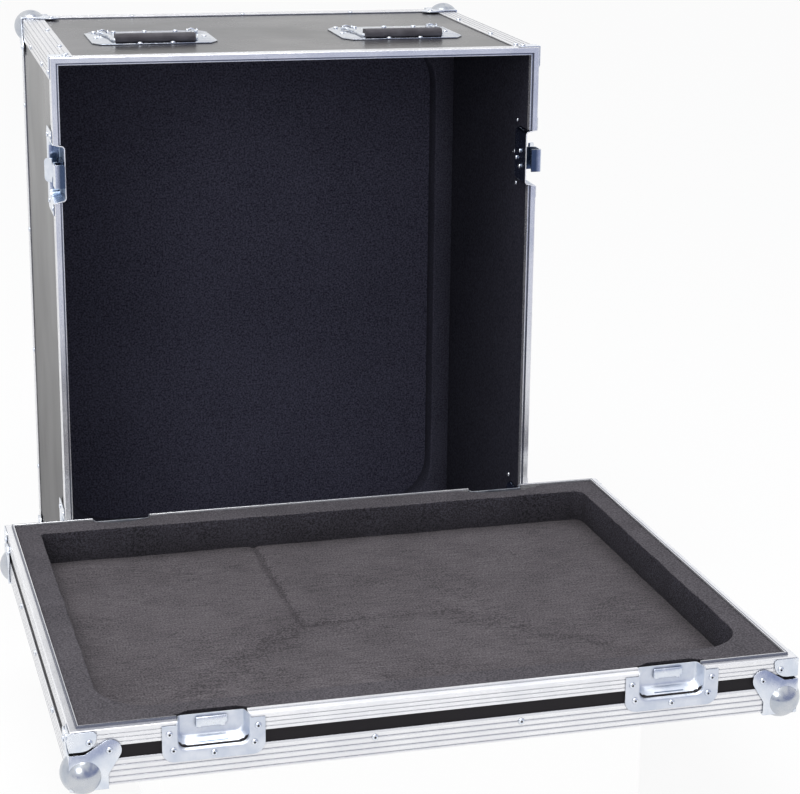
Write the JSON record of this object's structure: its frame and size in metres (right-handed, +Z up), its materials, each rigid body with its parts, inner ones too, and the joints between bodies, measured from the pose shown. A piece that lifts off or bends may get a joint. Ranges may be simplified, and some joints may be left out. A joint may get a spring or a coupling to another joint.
{
  "type": "speaker flight case",
  "caption": "Upright loudspeaker transit case with a padded open front, ribbed metal edges, ball corners, folding handles and recessed turn latches, and its padded lid.",
  "frame": {"origin": "middle of the flat strip between the first two grooves on the underside of the body's front closing extrusion, which is the edge that the body stands on", "axes": "+Z up the height of the body, -Y out of its opening towards the lid, +X to the right as one looks in"},
  "size_m": [0.8681, 1.2486, 0.8518],
  "materials": {
    "laminate": "dark brown-black phenolic laminate on plywood, low sheen",
    "aluminium": "ribbed extrusion, satin, mill finish",
    "zinc": "pressed steel, bright zinc plated, faintly blue",
    "steel": "bent steel sheet and rod, zinc plated",
    "foam": "black closed-cell foam, matt and speckled",
    "lining": "black lining sheet, matt",
    "rubber": "moulded black grip, low sheen"
  },
  "bodies": {
    "case": {"body_panel_top": "laminate", "body_panel_base": "laminate", "body_panel_back": "laminate", "body_panel_left": "laminate", "body_panel_right": "laminate", "body_edge_back_frame": "aluminium", "body_edge_base_left": "aluminium", "body_edge_base_right": "aluminium", "body_edge_top_left": "aluminium", "body_edge_top_right": "aluminium", "body_closing_base": "aluminium", "body_closing_top": "aluminium", "body_closing_left": "aluminium", "body_closing_right": "aluminium", "body_ball_corner_base_left": "zinc", "body_ball_corner_base_right": "zinc", "body_ball_corner_top_left": "zinc", "body_ball_corner_top_right": "zinc", "latch_dish_left_lower": "zinc", "latch_dish_right_lower": "zinc", "latch_dish_left_upper": "zinc", "latch_dish_right_upper": "zinc", "handle_plate_left": "zinc", "handle_plate_right": "zinc", "body_foam_ring": "foam", "body_wall_lining": "lining", "body_back_pad": "lining"},
    "lid": {"lid_panel": "laminate", "lid_side_frame": "laminate", "lid_edge_frame": "aluminium", "lid_closing_left": "aluminium", "lid_closing_right": "aluminium", "lid_closing_front": "aluminium", "lid_closing_back": "aluminium", "lid_ball_corner_front_left": "zinc", "lid_ball_corner_front_right": "zinc", "lid_ball_corner_back_left": "zinc", "lid_ball_corner_back_right": "zinc", "strike_dish_front_left": "zinc", "strike_dish_front_right": "zinc", "strike_dish_back_left": "zinc", "strike_dish_back_right": "zinc", "lid_foam_frame": "foam", "lid_foam_pad": "foam"},
    "turner_left_lower": {"latch_turner_left_lower": "zinc"},
    "wing_left_lower": {"latch_wing_left_lower": "zinc"},
    "hook_left_lower": {"latch_hook_left_lower": "steel"},
    "turner_right_lower": {"latch_turner_right_lower": "zinc"},
    "wing_right_lower": {"latch_wing_right_lower": "zinc"},
    "hook_right_lower": {"latch_hook_right_lower": "steel"},
    "turner_left_upper": {"latch_turner_left_upper": "zinc"},
    "wing_left_upper": {"latch_wing_left_upper": "zinc"},
    "hook_left_upper": {"latch_hook_left_upper": "steel"},
    "turner_right_upper": {"latch_turner_right_upper": "zinc"},
    "wing_right_upper": {"latch_wing_right_upper": "zinc"},
    "hook_right_upper": {"latch_hook_right_upper": "steel"},
    "handle_left": {"handle_bail_left": "steel", "handle_grip_left": "rubber"},
    "handle_right": {"handle_bail_right": "steel", "handle_grip_right": "rubber"}
  },
  "joints": [
    {"name": "lid_lift", "type": "slide", "parent": "case", "child": "lid", "axis": [0, 0, 1], "range_m": [0, 0.3]},
    {"name": "turn_left_lower", "type": "hinge", "parent": "case", "child": "turner_left_lower", "pos_m": [-0.322, 0.01845, 0.153], "axis": [1, 0, 0], "range_deg": [0, 180]},
    {"name": "fold_left_lower", "type": "hinge", "parent": "turner_left_lower", "child": "wing_left_lower", "pos_m": [-0.3265, 0.01845, 0.153], "axis": [0, 0, -1], "range_deg": [-50, 40]},
    {"name": "draw_left_lower", "type": "slide", "parent": "case", "child": "hook_left_lower", "axis": [0, -1, 0], "range_m": [0, 0.012]},
    {"name": "turn_right_lower", "type": "hinge", "parent": "case", "child": "turner_right_lower", "pos_m": [0.322, 0.01845, 0.153], "axis": [1, 0, 0], "range_deg": [0, 180]},
    {"name": "fold_right_lower", "type": "hinge", "parent": "turner_right_lower", "child": "wing_right_lower", "pos_m": [0.3265, 0.01845, 0.153], "axis": [0, 0, 1], "range_deg": [-50, 40]},
    {"name": "draw_right_lower", "type": "slide", "parent": "case", "child": "hook_right_lower", "axis": [0, -1, 0], "range_m": [0, 0.012]},
    {"name": "turn_left_upper", "type": "hinge", "parent": "case", "child": "turner_left_upper", "pos_m": [-0.322, 0.01845, 0.677], "axis": [1, 0, 0], "range_deg": [0, 180]},
    {"name": "fold_left_upper", "type": "hinge", "parent": "turner_left_upper", "child": "wing_left_upper", "pos_m": [-0.3265, 0.01845, 0.677], "axis": [0, 0, -1], "range_deg": [-50, 40]},
    {"name": "draw_left_upper", "type": "slide", "parent": "case", "child": "hook_left_upper", "axis": [0, -1, 0], "range_m": [0, 0.012]},
    {"name": "turn_right_upper", "type": "hinge", "parent": "case", "child": "turner_right_upper", "pos_m": [0.322, 0.01845, 0.677], "axis": [1, 0, 0], "range_deg": [0, 180]},
    {"name": "fold_right_upper", "type": "hinge", "parent": "turner_right_upper", "child": "wing_right_upper", "pos_m": [0.3265, 0.01845, 0.677], "axis": [0, 0, 1], "range_deg": [-50, 40]},
    {"name": "draw_right_upper", "type": "slide", "parent": "case", "child": "hook_right_upper", "axis": [0, -1, 0], "range_m": [0, 0.012]},
    {"name": "lift_handle_left", "type": "hinge", "parent": "case", "child": "handle_left", "pos_m": [-0.175, 0.21545, 0.8334], "axis": [-1, 0, 0], "range_deg": [0, 90]},
    {"name": "lift_handle_right", "type": "hinge", "parent": "case", "child": "handle_right", "pos_m": [0.175, 0.21545, 0.8334], "axis": [-1, 0, 0], "range_deg": [0, 90]}
  ],
  "couplings": [
    {"joint": "draw_left_lower", "follows": "turn_left_lower", "m_per_rad": 0.0038197},
    {"joint": "draw_right_lower", "follows": "turn_right_lower", "m_per_rad": 0.0038197},
    {"joint": "draw_left_upper", "follows": "turn_left_upper", "m_per_rad": 0.0038197},
    {"joint": "draw_right_upper", "follows": "turn_right_upper", "m_per_rad": 0.0038197}
  ]
}
